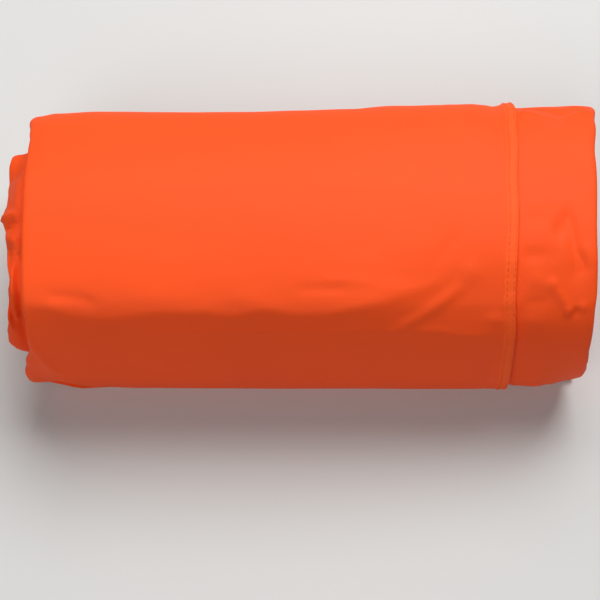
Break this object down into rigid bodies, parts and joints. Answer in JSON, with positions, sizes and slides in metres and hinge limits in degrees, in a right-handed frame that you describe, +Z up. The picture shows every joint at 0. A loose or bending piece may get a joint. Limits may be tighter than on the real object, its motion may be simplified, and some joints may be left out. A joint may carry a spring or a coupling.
{
  "type": "bivy sack",
  "caption": "Packed bivy sack: a fabric shelter folded in thirds and rolled into a flat-based bundle, with a side seam band and a zipped hood.",
  "frame": {"origin": "on the surface that the roll lies on, under the middle of the roll", "axes": "+X along the roll, towards the end with the side seam band; +Y to the back, where the zip is; +Z up"},
  "size_m": [0.292, 0.1455, 0.0991],
  "materials": {
    "top_fabric": "coated plain-weave nylon, soft sheen",
    "floor_fabric": "heavier coated nylon, soft sheen",
    "seam_fabric": "folded and stitched nylon",
    "zip_tape": "woven polyester tape",
    "zip_coil": "nylon coil",
    "zip_stop": "moulded on the tapes",
    "slider_metal": "die-cast, black enamel",
    "pull_metal": "stamped, black enamel"
  },
  "bodies": {
    "rolled_bag": {"body_top_panel": "top_fabric", "body_floor_panel": "floor_fabric", "foot_end_panel": "floor_fabric", "hood_top_panel": "top_fabric", "hood_mouth_panel": "top_fabric", "hood_floor_panel": "floor_fabric", "hood_cross_seam": "seam_fabric", "side_seams_hood": "seam_fabric", "mouth_hem_top": "seam_fabric", "mouth_hem_floor": "seam_fabric", "zip_tape_upper": "zip_tape", "zip_tape_lower": "zip_tape", "zip_coil_upper": "zip_coil", "zip_coil_lower": "zip_coil", "zip_top_stop": "zip_stop", "zip_bottom_stop": "zip_stop"},
    "slider": {"zip_slider": "slider_metal"},
    "pull_tab": {"zip_pull_tab": "pull_metal"}
  },
  "joints": [
    {"name": "zip_slide", "type": "slide", "parent": "rolled_bag", "child": "slider", "axis": [-1, 0, 0], "range_m": [0, 0.1999]},
    {"name": "pull_tab_swing", "type": "hinge", "parent": "slider", "child": "pull_tab", "pos_m": [0.08545, 0.07179, 0.04], "axis": [0, 0, -1], "range_deg": [0, 165]}
  ]
}
